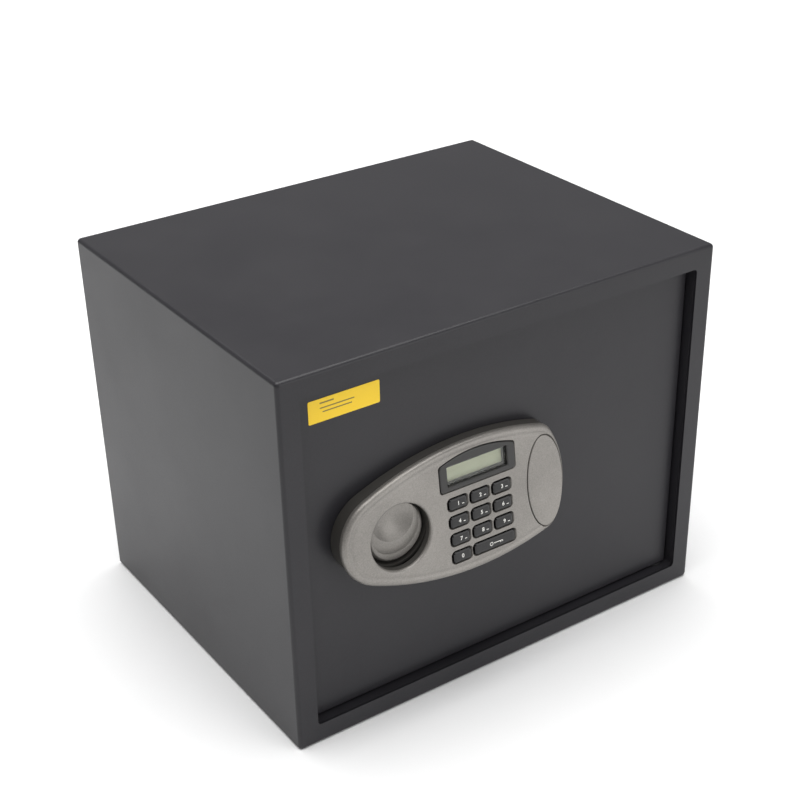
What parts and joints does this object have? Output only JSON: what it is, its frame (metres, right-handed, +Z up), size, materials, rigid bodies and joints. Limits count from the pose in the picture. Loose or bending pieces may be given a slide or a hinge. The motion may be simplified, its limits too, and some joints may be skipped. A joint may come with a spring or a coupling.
{
  "type": "in room safe",
  "caption": "Steel in-room safe with a hinged front door, sloping keypad panel, display, round turn knob, hidden key lock and sliding locking bolts.",
  "frame": {"origin": "centre of the base anchor holes, on the underside of the cabinet", "axes": "+X to the right seen from the front, along the width; -Y out of the door; +Z up"},
  "size_m": [0.38, 0.3169, 0.3],
  "materials": {
    "powder_steel": "satin dark graphite powder coat",
    "plain_steel": "dark graphite powder coat over weld",
    "zinc_plate": "zinc plated",
    "bright_steel": "turned, bright",
    "nylon": "black nylon",
    "felt": "needled felt",
    "label": "yellow film label",
    "dark_abs": "moulded, fine texture",
    "black_abs": "moulded, fine texture",
    "silver_paint": "silver painted plastic",
    "clear_window": "clear acrylic",
    "lcd_glass": "reflective display glass",
    "rubber": "moulded silicone",
    "board": "green circuit board",
    "screws": "zinc plated",
    "lock_chrome": "nickel plated",
    "lock_brass": "turned brass",
    "copper_coil": "taped winding",
    "cell_jacket": "printed film jacket, no print",
    "red_abs": "moulded",
    "wire_jacket": "stranded wire sleeve",
    "key_black": "gloss black moulded"
  },
  "bodies": {
    "cabinet": {"cabinet_shell": "powder_steel", "back_panel": "powder_steel", "hinge_plates": "plain_steel", "strike_bar": "plain_steel", "floor_mat": "felt"},
    "door": {"door_plate": "powder_steel", "hinge_pins": "bright_steel", "hinge_washer": "nylon", "blank_label": "label", "panel_housing": "dark_abs", "fascia": "silver_paint", "lcd_bezel": "dark_abs", "lcd_window": "clear_window", "lcd_module": "lcd_glass", "keypad_membrane": "rubber", "control_board": "board", "panel_screws": "screws", "lock_cylinder": "lock_chrome", "lock_nut": "lock_chrome", "spindle_bush": "lock_brass", "lock_base_plate": "zinc_plate", "base_plate_nuts": "screws", "guide_stud": "screws", "solenoid_frame": "zinc_plate", "solenoid_coil": "copper_coil", "inner_cover": "powder_steel", "cover_screws": "screws", "battery_box": "black_abs", "battery_cells": "cell_jacket", "battery_contacts": "bright_steel", "reset_switch": "black_abs", "wiring": "wire_jacket"},
    "knob": {"knob": "silver_paint", "knob_spindle": "bright_steel", "spindle_clip": "screws", "crank_disc": "zinc_plate"},
    "carriage": {"bolt_carriage": "zinc_plate", "stop_tab": "zinc_plate", "upper_bolt": "bright_steel", "lower_bolt": "bright_steel", "bolt_screws": "screws"},
    "plunger": {"solenoid_plunger": "bright_steel", "plunger_spring": "screws"},
    "key_cover": {"key_cover": "silver_paint"},
    "lock_plug": {"lock_plug": "lock_brass", "lock_cam": "zinc_plate"},
    "battery_door": {"battery_door": "black_abs"},
    "reset_button": {"reset_button": "red_abs"},
    "key_0": {"key_0": "key_black"},
    "key_1": {"key_1": "key_black"},
    "key_2": {"key_2": "key_black"},
    "key_3": {"key_3": "key_black"},
    "key_4": {"key_4": "key_black"},
    "key_5": {"key_5": "key_black"},
    "key_6": {"key_6": "key_black"},
    "key_7": {"key_7": "key_black"},
    "key_8": {"key_8": "key_black"},
    "key_9": {"key_9": "key_black"},
    "key_start": {"key_start": "key_black"}
  },
  "joints": [
    {"name": "door_swing", "type": "hinge", "parent": "cabinet", "child": "door", "pos_m": [0.163, -0.1355, 0.15], "axis": [0, 0, 1], "range_deg": [0, 100]},
    {"name": "knob_turn", "type": "hinge", "parent": "door", "child": "knob", "pos_m": [-0.104, -0.15, 0.1575], "axis": [0, -1, 0], "range_deg": [0, 80]},
    {"name": "bolt_throw", "type": "slide", "parent": "door", "child": "carriage", "axis": [-1, 0, 0], "range_m": [0, 0.01543]},
    {"name": "plunger_slide", "type": "slide", "parent": "door", "child": "plunger", "axis": [0, 0, -1], "range_m": [0, 0.005], "deforming": ["plunger_spring"]},
    {"name": "key_cover_pull", "type": "slide", "parent": "door", "child": "key_cover", "axis": [0, -0.9914, 0.1305], "range_m": [0, 0.03]},
    {"name": "lock_plug_turn", "type": "hinge", "parent": "door", "child": "lock_plug", "pos_m": [0.024, -0.14, 0.158], "axis": [0, -1, 0], "range_deg": [0, 90]},
    {"name": "battery_door_slide", "type": "slide", "parent": "door", "child": "battery_door", "axis": [0, 0, -1], "range_m": [0, 0.056]},
    {"name": "reset_button_press", "type": "slide", "parent": "door", "child": "reset_button", "axis": [0, -1, 0], "range_m": [0, 0.0015], "stiffness_N_per_m": 300},
    {"name": "key_0_press", "type": "slide", "parent": "door", "child": "key_0", "axis": [0, 0.9914, -0.1305], "range_m": [0, 0.0012], "stiffness_N_per_m": 400},
    {"name": "key_1_press", "type": "slide", "parent": "door", "child": "key_1", "axis": [0, 0.9914, -0.1305], "range_m": [0, 0.0012], "stiffness_N_per_m": 400},
    {"name": "key_2_press", "type": "slide", "parent": "door", "child": "key_2", "axis": [0, 0.9914, -0.1305], "range_m": [0, 0.0012], "stiffness_N_per_m": 400},
    {"name": "key_3_press", "type": "slide", "parent": "door", "child": "key_3", "axis": [0, 0.9914, -0.1305], "range_m": [0, 0.0012], "stiffness_N_per_m": 400},
    {"name": "key_4_press", "type": "slide", "parent": "door", "child": "key_4", "axis": [0, 0.9914, -0.1305], "range_m": [0, 0.0012], "stiffness_N_per_m": 400},
    {"name": "key_5_press", "type": "slide", "parent": "door", "child": "key_5", "axis": [0, 0.9914, -0.1305], "range_m": [0, 0.0012], "stiffness_N_per_m": 400},
    {"name": "key_6_press", "type": "slide", "parent": "door", "child": "key_6", "axis": [0, 0.9914, -0.1305], "range_m": [0, 0.0012], "stiffness_N_per_m": 400},
    {"name": "key_7_press", "type": "slide", "parent": "door", "child": "key_7", "axis": [0, 0.9914, -0.1305], "range_m": [0, 0.0012], "stiffness_N_per_m": 400},
    {"name": "key_8_press", "type": "slide", "parent": "door", "child": "key_8", "axis": [0, 0.9914, -0.1305], "range_m": [0, 0.0012], "stiffness_N_per_m": 400},
    {"name": "key_9_press", "type": "slide", "parent": "door", "child": "key_9", "axis": [0, 0.9914, -0.1305], "range_m": [0, 0.0012], "stiffness_N_per_m": 400},
    {"name": "key_start_press", "type": "slide", "parent": "door", "child": "key_start", "axis": [0, 0.9914, -0.1305], "range_m": [0, 0.0012], "stiffness_N_per_m": 400}
  ],
  "couplings": [
    {"joint": "knob_turn", "follows": "bolt_throw", "rad_per_m": 90.508}
  ]
}
